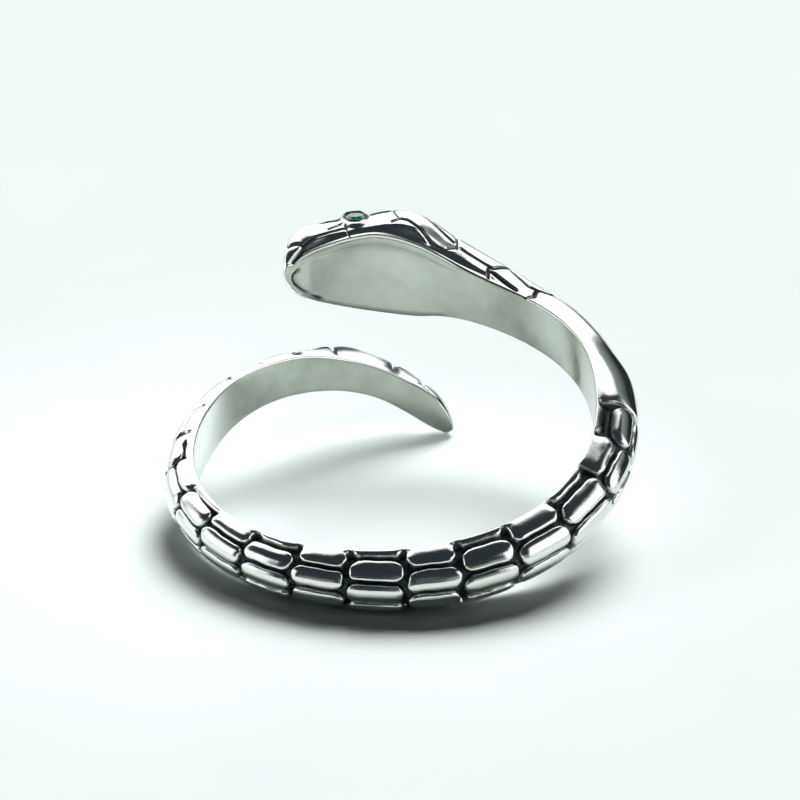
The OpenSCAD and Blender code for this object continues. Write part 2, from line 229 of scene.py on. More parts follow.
plates = {
    "start": 404,
    "depth": 0.07,
    "floor": 0,
    "wall": 0.075,
    "black": (0.03, 0.06),
    "pillow": 0.03,
    "pillowReach": 0.4,
    "fadeTurns": 8,           # turns over which the seams begin at the edge of the band
    "neckWider": 0.9,         # the seams of the neck are wider than those of the head by this
    "neckAngles": (428, 422),
    "crownWider": 1.0,        # and those on top of the head by this
    "crownTurns": (38, 48),
    "measuredOut": 0.6,       # share of the thickness at which a seam's length is measured
    # angle and turn at one end of a seam, then at the other
    "seams": [
        (410.4, 0, 409.2, 12), (409.2, 12, 411, 29), (408, 40, 411, 29),
        (411, 29, 413.5, 27), (413.5, 27, 418.8, 36), (418.8, 36, 421.9, 43),
        (421.9, 43, 424.3, 22), (424.3, 22, 433.7, 23.5), (423.5, 4, 425.2, 20),
        (424.3, 16, 419, 10.5), (419, 10.5, 414.5, 6),
        (421.9, 43, 421, 90), (408, 40, 407, 90),
        (434.2, 20, 436.1, 45), (436.1, 45, 434, 90), (434.7, 20, 436.6, 10),
        (436.6, 10, 440.9, 8), (440.9, 8, 443.8, 12), (443.8, 12, 447.5, 20),
        (447.5, 20, 449.4, 20.5), (449.4, 20.5, 450.4, 28), (435.6, 26, 439.5, 32), (439.5, 32, 445.5, 42),
        (449.4, 20.5, 451.6, 15), (450.4, 28, 452, 52), (452, 52, 449, 90),
        (445.5, 42, 450, 58), (452, 50, 458, 46),
        (463.4, 0, 463.9, 18), (463.9, 18, 463.2, 27), (463.2, 27, 468.5, 20),
        (462.9, 33.5, 469.2, 35.5), (462.9, 35, 469.2, 37), (462.9, 36.5, 469.2, 38.5),
        (457.4, 35, 452.4, 34.5), (457, 37, 452.4, 36), (452.4, 35.5, 448.2, 41),
        (464.1, 16, 470.7, 13), (470.7, 13, 477.2, 10), (477.2, 8, 480.3, 34),
        (477.2, 8, 481.5, 4),
        (436, 90, 449, 90), (452, 62, 461, 66), (463, 36, 461, 66),
        (461, 66, 463, 90), (463, 90, 477, 90), (469.2, 37, 471, 90),
        (480.3, 34, 478, 90),
    ],
}

eye = {
    "angle": 460.3,
    "turn": 34,
    "socketRadius": 0.49,
    "socketDepth": 0.48,
    "socketWall": 0.06,
    "seat": (0.55, 0.95),     # the skin is level round the stone up to the first distance
    # the black line at the socket: how far out of it the line ends, over how much it fades,
    # and how far out the skin is clean
    "lineOut": 0.03,
    "lineFade": 0.04,
    "lineClean": 0.2,
    "lidRadius": 0.085,       # half the thickness of the rounded eyelid
    "lidOut": 0.6,            # its middle lies so many radii out of the socket, and so many down
    "lidDown": 0.3,
    "lidPolished": 0.6,       # it is polished from so many radii out of its middle
    "lidSteps": 56,
    "lidSides": 12,
}


# 0 up to the first value and 1 from the last one on, with a soft step between them
def smooth(x, first=0, last=1):
    t = np.clip((x - first) / (last - first), 0, 1)
    return t * t * (3 - 2 * t)


# 1 over a stretch: it rises between its first two values and falls between the last two
def over(x, stretch):
    a, b, c, d = stretch
    return smooth(x, a, b) * smooth(x, d, c)


# a smooth curve through one column of the table of sections
def curveThrough(name, angles):
    table = np.array(casting["sections"], float)
    x, y = table[:, 0], table[:, casting["columns"].index(name)]
    span = np.diff(x)
    rate = np.diff(y) / span
    slope = np.empty_like(y)
    slope[0], slope[-1] = rate[0], rate[-1]
    slope[1:-1] = (rate[:-1] * span[1:] + rate[1:] * span[:-1]) / (span[:-1] + span[1:])
    i = np.clip(np.searchsorted(x, angles, side="right") - 1, 0, len(span) - 1)
    t = (angles - x[i]) / span[i]
    return ((2 * t**3 - 3 * t**2 + 1) * y[i] + (t**3 - 2 * t**2 + t) * span[i] * slope[i]
            + (3 * t**2 - 2 * t**3) * y[i + 1] + (t**3 - t**2) * span[i] * slope[i + 1])


# distance of the inner face from the middle of the finger
def innerRadius(angles):
    return casting["fingerRadius"] - curveThrough("inset", angles)


# turns from the nearer edge: most things are the same on the upper and the lower side
def fromEdges(turns):
    return np.minimum(turns, 180 - turns)


# point of the plain band: distance out from the finger, height over the middle, and
# the way that its surface faces in the same two directions
def plainBand(angles, turns):
    columns = ("width", "thickness", "boxiness", "overhang")
    width, thick, boxy, flare = [curveThrough(name, angles) for name in columns]
    boxy = boxy - casting["softer"] * over(angles, casting["softerOver"])
    s = np.sin(turns * turn)
    c = np.cos(turns * turn)
    reach = (s**boxy + np.abs(c)**boxy) ** (-1 / boxy)
    out = thick * reach * s
    e = fromEdges(turns)
    bevel = casting["bevelShare"] * smooth(angles, *casting["bevelAngles"]) * (turns < 90)
    arch = np.where(e < casting["flareTurns"], np.sin(e * math.pi / casting["flareTurns"]), 0)
    step = smooth(e, *casting["bevelTurns"]) * smooth(casting["flareTurns"] - e, 0, casting["bevelFade"])
    overhang = arch + (step - arch) * bevel
    up = width / 2 * reach * c + flare * overhang * np.sign(90 - turns)
    faceOut = (reach * s) ** (boxy - 1) / thick
    faceUp = (reach * np.abs(c)) ** (boxy - 1) / (width / 2) * np.sign(90 - turns)
    size = np.hypot(faceOut, faceUp)
    return out, up, faceOut / size, faceUp / size


# millimetres for a turn across the band
def turnLength(angles):
    return casting["girth"] * (curveThrough("width", angles) / 2 + curveThrough("thickness", angles)) / 90


# millimetres for a degree along the band and for a turn across it
def lengths(angles, turns):
    out = plainBand(angles, turns)[0]
    return (innerRadius(angles) + out) * turn, turnLength(angles)


# how wide and open the grooves are: 1 at the front of the band, less at its back
def openness(angles):
    return scales["narrow"] + (1 - scales["narrow"]) * smooth(angles, *scales["narrowAngles"])


# turns from the edge toward the finger at which the grooves run out
def runOut(angles):
    front, back = scales["runOutTurns"]
    return front + (back - front) * smooth(angles, *scales["runOutAngles"])


# an angle or a turn with the waves of the straying added
def strayed(place, waves, angles, turns):
    for size, byAngle, byTurn, start in waves:
        place = place + size * scales["wobble"] * np.sin(turns * byTurn + angles * byAngle + start)
    return place


# distance of each point from the middle of the nearest groove
def fromGroove(angles, turns):
    strayA = strayed(angles, scales["strayAlong"], angles, turns)
    strayT = strayed(turns, scales["strayAcross"], angles, turns)
    perAngle, perTurn = lengths(angles, turns)
    grooves = np.array(scales["crossGrooves"], float)
    along = np.min(np.abs(strayA[..., None] - grooves), axis=-1) * perAngle * scales["crossNarrow"]
    column = np.sum(strayA[..., None] >= grooves, axis=-1)
    toOdd, toEven = [np.min(np.abs(strayT[..., None] - np.array(scales[rows], float)), axis=-1)
                     for rows in ("rowsOdd", "rowsEven")]
    rim = np.array(scales["rimGroove"], float)
    inner, outer = [np.interp(angles, rim[:, 0], rim[:, k]) for k in (1, 2)]
    edge = fromEdges(strayT)
    toRim = np.maximum(np.maximum(outer - edge, edge - inner), 0)
    across = np.where(column % 2 == 1, toOdd, np.minimum(toEven, toRim))
    # no rows before the first cross groove or after the last one
    across = np.where((column == 0) | (column == len(grooves)), np.inf, across) * perTurn
    corner = scales["cornerTurns"] * perTurn
    inset = np.hypot(np.maximum(corner - along, 0), np.maximum(corner - across, 0))
    return np.where(inset > 0, np.maximum(corner - inset, 0), np.minimum(along, across))


# distance from a broken line; x and y are where the points lie, ends are its corners
def fromLine(x, y, ends):
    nearest = np.full(x.shape, np.inf)
    for x1, y1, x2, y2 in ends:
        dx, dy = x2 - x1, y2 - y1
        share = np.clip(((x - x1) * dx + (y - y1) * dy) / (dx * dx + dy * dy), 0, 1)
        nearest = np.minimum(nearest, np.hypot(x - x1 - share * dx, y - y1 - share * dy))
    return nearest


# distance from the nearest seam of the neck and head
def fromSeam(angles, turns):
    perAngle = (casting["fingerRadius"] + plates["measuredOut"] * curveThrough("thickness", angles)) * turn
    perTurn = turnLength(angles)
    ends = [(a1 * perAngle, t1 * perTurn, a2 * perAngle, t2 * perTurn) for a1, t1, a2, t2 in plates["seams"]]
    return fromLine(angles * perAngle, fromEdges(turns) * perTurn, ends)


# how black the dark patches are, oxide and painted shade, and how far they stand up
def darkSpots(angles, turns):
    black = np.full(angles.shape, clean)
    lump = 0 * angles
    for angle, middle, long, wide, strength, high in scales["oxideAndShadeSpots"]:
        share = 1 - np.hypot((angles - angle) / long, (fromEdges(turns) - middle) / wide)
        black = np.maximum(black, strength * share)
        lump = lump + high * smooth(share * scales["lumpSteep"])
    return black, lump


# distance from the axis of an eye, along the skin
def fromEye(angles, turns):
    perAngle, perTurn = lengths(angles, turns)
    return np.hypot((angles - eye["angle"]) * perAngle, (fromEdges(turns) - eye["turn"]) * perTurn)


# middle of an eye on the plain band, side 1 up and -1 down: distance from the middle of
# the finger, height, and the way that the skin faces there
def eyePlace(side):
    angle = np.array([eye["angle"]])
    turns = np.array([eye["turn"] if side == 1 else 180 - eye["turn"]], float)
    out, up, faceOut, faceUp = [v[0] for v in plainBand(angle, turns)]
    return casting["fingerRadius"] + out, curveThrough("rise", angle)[0] + up, faceOut, faceUp


# how deep a groove is at a distance from its middle, how far its pillow has dropped, and
# how black it is
def relief(kind, distance, size):
    share = 1 - smooth(distance - kind["floor"] * size, 0, kind["wall"] * size)
    depth = kind["depth"] * (1 - casting["depthByWidth"] + casting["depthByWidth"] * size)
    drop = (1 - np.clip(distance / kind["pillowReach"], 0, 1)) ** 2
    full, gone = kind["black"]
    black = (gone * size - distance) / ((gone - full) * size)
    return depth * share, kind["pillow"] * drop, np.clip(black, clean, fullBlack)


# angles of the swept sections: close together at a cross groove and over the head
def sweepAngles():
    near = np.array(casting["nearGroove"])
    reach = near[-1]
    grooves = scales["crossGrooves"]
    tip = casting["sections"][0][0]
    angles = list(np.linspace(tip, grooves[0] - reach, casting["tipSections"]))
    angles += list(grooves[0] - near[:0:-1])[1:]
    for a, b in zip(grooves[:-1], grooves[1:]):
        count = max(casting["fewestOnScale"], round((b - a - 2 * reach) / casting["scaleStep"]))
        middle = np.linspace(a + reach, b - reach, count)
        angles += list(a + near) + list(middle[1:-1]) + list(b - near[:0:-1])
    angles += list(grooves[-1] + near)
    for first, last, count in casting["headSections"]:
        angles += list(np.linspace(first, last, count))
    return np.array(angles)


# turns of the points of each section, closer together on the flanks of the head
def sweepTurns(angles, first, last):
    count = casting["linesRound"]
    body = np.linspace(0, 1, count)
    flank = int(count * casting["flankLines"])
    wide = casting["flankTurns"]
    head = np.concatenate([
        np.linspace(0, wide, flank, endpoint=False),
        np.linspace(wide, 1 - wide, count - 2 * flank),
        np.linspace(1 - wide, 1, flank + 1)[1:],
    ])
    share = smooth(angles, *casting["flankAngles"])[:, None]
    return first + (180 - first - last) * (body + (head - body) * share)


# the rubbed edges, lower and upper: how far out each starts, and how far along the inner
# face it ends
def rubbedEdges(angles):
    wide, high = curveThrough("width", angles)[:, None], curveThrough("thickness", angles)[:, None]
    onHead = over(angles, casting["headOver"])[:, None]
    lower = [plain + 0 * onHead for plain in casting["edge"]]
    upper = [a + (b - a) * onHead for a, b in zip(casting["edge"], casting["edgeHead"])]
    mostOut, mostAlong = casting["edgeMost"]
    return [(np.minimum(out, mostOut * high), np.minimum(along, mostAlong * wide))
            for out, along in (lower, upper)]


# the carved skin away from the finger, from the upper edge over the crest to the lower
# one: distance out, height and blackness of its points
def carveSkin(angles, turns):
    grid = np.repeat(angles[:, None], turns.shape[1], axis=1)
    rise, high = curveThrough("rise", angles)[:, None], curveThrough("thickness", angles)[:, None]
    out, up, faceOut, faceUp = plainBand(grid, turns)
    side = np.sign(90 - turns)
    fromEdge = fromEdges(turns)
    rim = runOut(grid)
    head = grid >= plates["start"]

    groove, pillow, grooveBlack = relief(scales, fromGroove(grid, turns), openness(grid))
    onNeck = plates["neckWider"] * smooth(grid, *plates["neckAngles"])
    onCrown = plates["crownWider"] * smooth(fromEdge, *plates["crownTurns"])
    seam, plate, seamBlack = relief(plates, fromSeam(grid, turns), 1 + np.maximum(onNeck, onCrown))
    seamFade = smooth(fromEdge, 0, plates["fadeTurns"])
    grooveFade = smooth(fromEdge - rim, 0, scales["fadeTurns"])
    pillowFade = smooth(fromEdge - rim / 2, 0, scales["pillowTurns"])
    mostDeep, mostSoft = casting["reliefMost"]
    deep = np.minimum(mostDeep * high, np.where(head, seam, groove)) * np.where(head, seamFade, grooveFade)
    soft = np.minimum(mostSoft * high, np.where(head, plate, pillow)) * pillowFade

    # the skin is made level round each stone, and the socket is cut into it
    toEye = fromEye(grid, turns)
    reach = eye["socketRadius"]
    seat = 1 - smooth(toEye, *eye["seat"])
    for half in (1, -1):
        eyeOut, eyeUp, eyeFaceOut, eyeFaceUp = eyePlace(half)
        ahead = (casting["fingerRadius"] + out) * np.cos((grid - eye["angle"]) * turn) - eyeOut
        lift = seat * (ahead * eyeFaceOut + (rise + up - eyeUp) * eyeFaceUp)
        lift = np.where(side == half, lift, 0)
        out -= lift * eyeFaceOut
        up -= lift * eyeFaceUp
    socket = eye["socketDepth"] * (1 - smooth(toEye - reach, 0, eye["socketWall"]))
    # dark patches: oxide left unpolished, and painted dark reflection and shade
    patch, lump = darkSpots(grid, turns)
    drop = np.where(toEye < reach + eye["socketWall"], socket, (deep + soft) * (1 - seat)) - lump
    out -= drop * faceOut
    up -= drop * faceUp
    onHead = over(angles, casting["headOver"])[:, None]
    up += side * casting["rimRaise"] * onHead * np.clip(1 - fromEdge / casting["rimTurns"], 0, 1) ** 2

    black = np.where(head, seamBlack, np.minimum(grooveBlack, (fromEdge - rim) / scales["blackTurns"]))
    line = (reach + eye["lineOut"] - toEye) / eye["lineFade"]
    black = np.where(toEye < reach + eye["lineClean"], line, black)
    return out, up, np.maximum(black, patch)


# the rubbed edges and the face toward the finger, from the lower edge to the upper one:
# distance out, height and blackness of their points
def closeInside(angles, skinUp, lowerEdge, upperEdge):
    onHead = over(angles, casting["headOver"])[:, None]
    quarter = np.linspace(0, 90, casting["edgeLines"] + 1)[1:] * turn
    lowerOut, upperOut = [edge[0] * (1 - np.sin(quarter)) for edge in (lowerEdge, upperEdge)]
    lower = skinUp[:, -1:] + lowerEdge[1] * (1 - np.cos(quarter))
    upper = skinUp[:, :1] - upperEdge[1] * (1 - np.cos(quarter))
    across = np.linspace(0, 1, casting["linesInside"] + 2)[1:-1]
    inside = lower[:, -1:] + (upper[:, -1:] - lower[:, -1:]) * across

    hollow = over(angles, casting["throatOver"])[:, None]
    sunk = casting["throatHollow"] * hollow * smooth(1 - across, 0, casting["throatEdge"]) * across
    perAngle = casting["fingerRadius"] * turn
    corners = casting["crease"]
    ends = [(a1 * perAngle, z1, a2 * perAngle, z2) for (a1, z1), (a2, z2) in zip(corners[:-1], corners[1:])]
    toCrease = fromLine(angles[:, None] * perAngle + 0 * inside, inside, ends)
    sunk = sunk + casting["creaseDepth"] * (1 - smooth(toCrease, 0, casting["creaseWidth"]))
    crease = casting["creaseBlack"] - toCrease / (casting["creaseFade"] * casting["creaseWidth"])
    # painted shade: a soft dark line on the inner face under the rim of the head
    place, half = casting["rimShadePlace"]
    rimShade = casting["rimShade"] * onHead * np.exp(-((upper[:, -1:] - inside - place) / half) ** 2)

    # painted shade along the rubbed lower edge of the head
    lowerBlack = np.repeat(casting["lipShade"] * onHead + clean * (1 - onHead), len(quarter), axis=1)
    insideBlack = np.maximum(np.clip(crease, clean, fullBlack), rimShade)
    out = np.concatenate([lowerOut, sunk, upperOut[:, ::-1]], axis=1)
    up = np.concatenate([lower, inside, upper[:, ::-1]], axis=1)
    return out, up, np.concatenate([lowerBlack, insideBlack, np.full(upper.shape, clean)], axis=1)


def buildCasting():
    angles = sweepAngles()
    high = curveThrough("thickness", angles)[:, None]
    lowerEdge, upperEdge = rubbedEdges(angles)
    first, last = [np.degrees(np.arcsin(edge[0] / high)) for edge in (upperEdge, lowerEdge)]
    turns = sweepTurns(angles, first, last)
    skin = carveSkin(angles, turns)
    inside = closeInside(angles, skin[1], lowerEdge, upperEdge)
    out, up, black = [np.concatenate(both, axis=1) for both in zip(skin, inside)]
    radius = innerRadius(angles)[:, None] + out
    height = curveThrough("rise", angles)[:, None] + up
    a = angles[:, None] * turn
    points = np.stack([radius * np.cos(a), radius * np.sin(a), height], axis=-1)
    perAngle = casting["fingerRadius"] * turn
    along = np.repeat(angles[:, None], points.shape[1], axis=1) * perAngle
    place = np.stack([along, height, out], axis=-1)
    # lines between these two carry the wheeled finish
    reachIn = casting["edgeLines"] - casting["satinLines"]
    satin = (turns.shape[1] + reachIn - 1, points.shape[1] - reachIn - 1)
    return points, black, place, satin


# the eyelids: a rounded bead at the mouth of each socket
def buildLids():
    points, faces, black = [], [], []
    steps, sides = eye["lidSteps"], eye["lidSides"]
    angle = eye["angle"] * turn
    radial = np.array([math.cos(angle), math.sin(angle), 0])
    tangent = np.array([-math.sin(angle), math.cos(angle), 0])
    for side in (1, -1):
        eyeOut, eyeUp, faceOut, faceUp = eyePlace(side)
        centre = eyeOut * radial + np.array([0, 0, eyeUp])
        axis = faceOut * radial + faceUp * np.array([0, 0, 1])
        across = np.cross(axis, tangent)
        first = len(points)
        for i in range(steps):
            w = 2 * math.pi * i / steps
            way = math.cos(w) * tangent + math.sin(w) * across
            for j in range(sides):
                q = 2 * math.pi * j / sides
                reach = eye["socketRadius"] + eye["lidRadius"] * (eye["lidOut"] + math.cos(q))
                points.append(centre + reach * way + eye["lidRadius"] * (math.sin(q) - eye["lidDown"]) * axis)
                black.append(clean if math.cos(q) > eye["lidPolished"] else fullBlack)
        for i in range(steps):
            for j in range(sides):
                k, m = (i + 1) % steps, (j + 1) % sides
                faces.append([first + i * sides + j, first + i * sides + m,
                              first + k * sides + m, first + k * sides + j][::side])
    return np.array(points), faces, black


def leaned(points):
    front = Matrix.Rotation(casting["leanFront"] * turn, 3, "X")
    right = Matrix.Rotation(casting["leanRight"] * turn, 3, "Y")
    return points @ np.array(right @ front).T


def makeCasting():
    grid, black, place, satin = buildCasting()
    rings, lines = grid.shape[:2]
    skin = grid.reshape(-1, 3)
    poles = np.array([grid[0].mean(axis=0), grid[-1].mean(axis=0)])
    lids, lidFaces, lidBlack = buildLids()
    points = leaned(np.concatenate([skin, poles, lids]))
    low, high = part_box("snake_body")
    shift = np.array([(low[0] + high[0]) / 2, (low[1] + high[1]) / 2, low[2]])
    shift[:2] -= (points[:, :2].min(axis=0) + points[:, :2].max(axis=0)) / 2 * mm
    shift[2] -= points[:, 2].min() * mm

    faces, kinds = [], []
    for r in range(rings - 1):
        for i in range(lines):
            j = (i + 1) % lines
            faces.append([r * lines + i, r * lines + j, (r + 1) * lines + j, (r + 1) * lines + i])
            kinds.append(1 if satin[0] <= i <= satin[1] else 0)
    for i in range(lines):
        j = (i + 1) % lines
        last = (rings - 1) * lines
        faces.append([rings * lines, j, i])
        faces.append([rings * lines + 1, last + i, last + j])
        kinds += [0, 0]
    offset = rings * lines + 2
    faces += [[offset + k for k in face] for face in lidFaces]
    kinds += [0] * len(lidFaces)

    mesh = bpy.data.meshes.new("snakeCasting")
    mesh.from_pydata([tuple(p) for p in points * mm + shift], [], faces)
    mesh.polygons.foreach_set("material_index", kinds)
    mesh.polygons.foreach_set("use_smooth", [True] * len(faces))
    extra = len(points) - len(skin)
    # darkness painted on the silver: oxide in the grooves and seams, and painted shade in places
    blackLayer = mesh.attributes.new("oxideAndPaintedShade", "FLOAT", "POINT")
    blackLayer.data.foreach_set("value", np.concatenate([black.ravel(), [clean, clean], lidBlack]))
    placeLayer = mesh.attributes.new("bandPlace", "FLOAT_VECTOR", "POINT")
    placeLayer.data.foreach_set("vector", np.concatenate([place.ravel(), np.zeros(3 * extra)]))
    mesh.validate()
    mesh.update()
    piece = bpy.data.objects.new("snake_casting", mesh)
    bpy.context.collection.objects.link(piece)
    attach(piece, "root")
    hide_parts("snake_body")
    print("casting built:", len(mesh.polygons), "faces")
    return piece, shift


snake, ringOrigin = makeCasting()


# materials

# sterling silver, cast, oxidised black and then polished on the raised parts: bright
# mirror-like scales with faint pits, and dull black grooves
def castPolishedSilver():
    settings = {
        "silver": "#E7E9E4",
        # the dark colour is the oxide in the grooves and also the painted dark reflection and shade of some
        # dark patches
        "oxideAndShadeColour": "#2C3235",
        "rubbedOxide": "#5A6264",
        "pitSize": 0.075,     # mm between the small pits of a cast and tumbled surface
        "pitDepth": 0.008,
        "waveSize": 0.5,      # mm between the soft waves that polishing leaves
        "waveDepth": 0.02,
        "wearSize": 1.6,      # mm between brighter and duller patches
        "polished": (0.08, 0.16),  # roughness of the brightest and the dullest polish
        "oxideRoughness": 0.45,
        "ragged": 0.8,        # how far the pits break up the edge of the dark, oxide and painted shade alike
    }
    material, tree = newMaterial("castPolishedSilver")
    coords = addNode(tree, "ShaderNodeTexCoord")
    black = addNode(tree, "ShaderNodeAttribute", {"attribute_name": "oxideAndPaintedShade"})
    patches, pits, waves = [
        addNode(tree, "ShaderNodeTexNoise",
                {"Scale": 1 / (settings[name] * mm), "Detail": 3, "Roughness": 0.6},
                {"Vector": coords.outputs["Object"]})
        for name in ("wearSize", "pitSize", "waveSize")]
    ragged = addNode(tree, "ShaderNodeMath",
                     {"operation": "MULTIPLY_ADD", 1: settings["ragged"], 2: -settings["ragged"] / 2},
                     {0: pits.outputs["Fac"]})
    amount = addNode(tree, "ShaderNodeMath", {"operation": "ADD"},
                     {0: black.outputs["Fac"], 1: ragged.outputs[0]})
    edge = addNode(tree, "ShaderNodeMapRange", {"From Min": 0, "From Max": 1},
                   {"Value": amount.outputs[0]})
    dark = addNode(tree, "ShaderNodeValToRGB", None, {"Fac": pits.outputs["Fac"]})
    setStops(dark, [(0.4, settings["oxideAndShadeColour"]), (0.7, settings["rubbedOxide"])])
    colour = addNode(tree, "ShaderNodeMix", {"data_type": "RGBA", 6: fromHex(settings["silver"])},
                     {0: edge.outputs[0], 7: dark.outputs["Color"]})
    bright, worn = settings["polished"]
    shine = addNode(tree, "ShaderNodeMapRange",
                    {"From Min": 0.3, "From Max": 0.7, "To Min": bright, "To Max": worn},
                    {"Value": patches.outputs["Fac"]})
    dull = addNode(tree, "ShaderNodeMix", {"data_type": "FLOAT", 3: settings["oxideRoughness"]},
                   {0: edge.outputs[0], 2: shine.outputs[0]})
    wavy = addNode(tree, "ShaderNodeBump", {"Strength": 0.25, "Distance": settings["waveDepth"] * mm},
                   {"Height": waves.outputs["Fac"]})
    pitted = addNode(tree, "ShaderNodeBump", {"Strength": 0.2, "Distance": settings["pitDepth"] * mm},
                     {"Height": pits.outputs["Fac"], "Normal": wavy.outputs[0]})
    shader = addNode(tree, "ShaderNodeBsdfPrincipled", {"Metallic": 1},
                     {"Base Color": colour.outputs[2], "Roughness": dull.outputs[0],
                      "Normal": pitted.outputs[0]})
    addNode(tree, "ShaderNodeOutputMaterial", None, {"Surface": shader.outputs[0]})
    return material


# the same silver inside the band, finished with a rubber wheel and not oxidised: a soft
# grey sheen with fine streaks that run round the finger
def wheeledSilver():
    settings = {
        "silver": "#C2C6BD",
        "rubbed": "#ACB1A7",
        # the dark colour is the oxide in the crease and also the painted shade under the rim and along the
        # lower lip
        "oxideAndShadeColour": "#3A4043",
        "streakWidth": 0.12,  # mm across a streak, drawn coarser than the wheel leaves it
        "streakLength": 2.5,  # mm along it
        "streakDepth": 0.01,
        "cloudSize": 1.2,     # mm between the cloudy patches where the wheel dwelt
        "cloudDepth": 0.03,
        "sheen": (0.13, 0.22),  # roughness of the brightest and the dullest patches
        "bright": "#E9ECE7",  # painted highlight: the inner face is painted this lighter colour at the left
        "highlightFrom": (141, 162),
        "highlightTo": (205, 225),
    }
    material, tree = newMaterial("wheeledSilver")
    place = addNode(tree, "ShaderNodeAttribute", {"attribute_name": "bandPlace"})
    black = addNode(tree, "ShaderNodeAttribute", {"attribute_name": "oxideAndPaintedShade"})
    perStreak = [1 / settings[name] for name in ("streakLength", "streakWidth", "streakWidth")]
    stretch = addNode(tree, "ShaderNodeVectorMath", {"operation": "MULTIPLY", 1: perStreak},
                      {0: place.outputs["Vector"]})
    streaks = addNode(tree, "ShaderNodeTexNoise", {"Scale": 1, "Detail": 4, "Roughness": 0.6},
                      {"Vector": stretch.outputs[0]})
    coords = addNode(tree, "ShaderNodeTexCoord")
    clouds = addNode(tree, "ShaderNodeTexNoise",
                     {"Scale": 1 / (settings["cloudSize"] * mm), "Detail": 4, "Roughness": 0.55},
                     {"Vector": coords.outputs["Object"]})
    tone = addNode(tree, "ShaderNodeValToRGB", None, {"Fac": clouds.outputs["Fac"]})
    setStops(tone, [(0.3, settings["rubbed"]), (0.7, settings["silver"])])
    edge = addNode(tree, "ShaderNodeMapRange", {"From Min": 0, "From Max": 1},
                   {"Value": black.outputs["Fac"]})
    parts = addNode(tree, "ShaderNodeSeparateXYZ", None, {0: place.outputs["Vector"]})
    shares = []
    for name in ("highlightFrom", "highlightTo"):
        first, last = [angle * turn * casting["fingerRadius"] for angle in settings[name]]
        shares.append(addNode(tree, "ShaderNodeMapRange",
                              {"interpolation_type": "SMOOTHSTEP", "From Min": first, "From Max": last},
                              {"Value": parts.outputs["X"]}))
    # painted highlight: lighter at the left of the inner face, between these angles
    highlightShare = addNode(tree, "ShaderNodeMath", {"operation": "SUBTRACT"},
                     {0: shares[0].outputs[0], 1: shares[1].outputs[0]})
    plain = addNode(tree, "ShaderNodeMix", {"data_type": "RGBA", 7: fromHex(settings["bright"])},
                    {0: highlightShare.outputs[0], 6: tone.outputs["Color"]})
    colour = addNode(tree, "ShaderNodeMix", {"data_type": "RGBA", 7: fromHex(settings["oxideAndShadeColour"])},
                     {0: edge.outputs[0], 6: plain.outputs[2]})
    bright, worn = settings["sheen"]
    dull = addNode(tree, "ShaderNodeMapRange",
                   {"From Min": 0.3, "From Max": 0.7, "To Min": bright, "To Max": worn},
                   {"Value": clouds.outputs["Fac"]})
    wavy = addNode(tree, "ShaderNodeBump", {"Strength": 0.5, "Distance": settings["cloudDepth"] * mm},
                   {"Height": clouds.outputs["Fac"]})
    brushed = addNode(tree, "ShaderNodeBump", {"Strength": 0.15, "Distance": settings["streakDepth"] * mm},
                      {"Height": streaks.outputs["Fac"], "Normal": wavy.outputs[0]})
    shader = addNode(tree, "ShaderNodeBsdfPrincipled", {"Metallic": 1},
                     {"Base Color": colour.outputs[2], "Roughness": dull.outputs[0],
                      "Normal": brushed.outputs[0]})
    addNode(tree, "ShaderNodeOutputMaterial", None, {"Surface": shader.outputs[0]})
    return material


# green cubic zirconia, machine cut and polished: a deep bottle green with bright facets
def cutGreenStone():
    settings = {
        "deep": "#03261F",
        "light": "#117556",
        "veilSize": 0.3,      # mm between the deeper and the lighter places
    }
    material, tree = newMaterial("cutGreenStone")
    coords = addNode(tree, "ShaderNodeTexCoord")
    veil = addNode(tree, "ShaderNodeTexNoise", {"Scale": 1 / (settings["veilSize"] * mm), "Detail": 2},
                   {"Vector": coords.outputs["Object"]})
    tone = addNode(tree, "ShaderNodeValToRGB", None, {"Fac": veil.outputs["Fac"]})
    setStops(tone, [(0.35, settings["deep"]), (0.65, settings["light"])])
    shader = addNode(tree, "ShaderNodeBsdfPrincipled", {
        "Roughness": 0.02, "IOR": 2.1, "Specular IOR Level": 0.3, "Transmission Weight": 0.25,
    }, {"Base Color": tone.outputs["Color"]})
    addNode(tree, "ShaderNodeOutputMaterial", None, {"Surface": shader.outputs[0]})
    return material


# painted board, brushed and matt: a pale surface with a very faint unevenness
def paintedBoard():
    settings = {
        "thin": "#CAD4D3",
        "thick": "#D0D8D7",
        "cloudSize": 16.667,  # mm between places where the paint is thin and thick
        "gritSize": 0.5,      # mm between the grains in it
        "gritDepth": 0.03,
    }
    material, tree = newMaterial("paintedBoard")
    coords = addNode(tree, "ShaderNodeTexCoord")
    cloud = addNode(tree, "ShaderNodeTexNoise", {"Scale": 1 / (settings["cloudSize"] * mm), "Detail": 4},
                    {"Vector": coords.outputs["Object"]})
    tone = addNode(tree, "ShaderNodeValToRGB", None, {"Fac": cloud.outputs["Fac"]})
    setStops(tone, [(0.3, settings["thin"]), (0.7, settings["thick"])])
    grit = addNode(tree, "ShaderNodeTexNoise", {"Scale": 1 / (settings["gritSize"] * mm), "Detail": 3},
                   {"Vector": coords.outputs["Object"]})
    bump = addNode(tree, "ShaderNodeBump", {"Strength": 0.05, "Distance": settings["gritDepth"] * mm},
                   {"Height": grit.outputs["Fac"]})
    shader = addNode(tree, "ShaderNodeBsdfPrincipled", {"Roughness": 0.75},
                     {"Base Color": tone.outputs["Color"], "Normal": bump.outputs[0]})
    addNode(tree, "ShaderNodeOutputMaterial", None, {"Surface": shader.outputs[0]})
    return material
